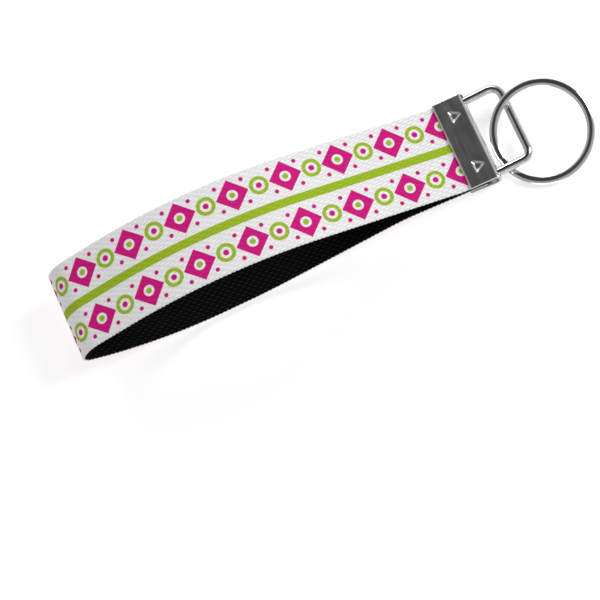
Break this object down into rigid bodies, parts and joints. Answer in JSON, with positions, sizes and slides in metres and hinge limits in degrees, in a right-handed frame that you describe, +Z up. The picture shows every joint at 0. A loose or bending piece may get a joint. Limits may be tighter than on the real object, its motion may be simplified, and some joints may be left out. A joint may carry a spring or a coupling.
{
  "type": "wristlet keychain",
  "caption": "Folded webbing wrist strap, printed outside and black inside, crimped in a metal end clamp with a hinged wire loop and a split key ring.",
  "frame": {"origin": "bottom centre of the whole object as it lies on a table", "axes": "+X from the fold of the webbing to the split ring, +Y across the webbing, +Z up"},
  "size_m": [0.1484, 0.033, 0.0259],
  "materials": {
    "webbing_print": "white woven polyester webbing face with a magenta and lime print",
    "webbing_black": "black woven polyester webbing",
    "clamp_metal": "dark nickel, satin",
    "loop_metal": "bright nickel plate",
    "ring_metal": "bright nickel plate"
  },
  "bodies": {
    "strap": {"webbing_print_ply": "webbing_print", "webbing_black_ply": "webbing_black", "clamp": "clamp_metal"},
    "wire_loop": {"wire_loop": "loop_metal"},
    "split_ring": {"split_ring": "ring_metal"}
  },
  "joints": [
    {"name": "loop_swing", "type": "hinge", "parent": "strap", "child": "wire_loop", "pos_m": [0.04334, 0.00348, 0.0039], "axis": [0, 1, 0], "range_deg": [-7, 26]},
    {"name": "ring_swing", "type": "hinge", "parent": "wire_loop", "child": "split_ring", "pos_m": [0.05501, 0.00348, 0.00472], "axis": [0, -1, 0], "range_deg": [0, 135]}
  ]
}
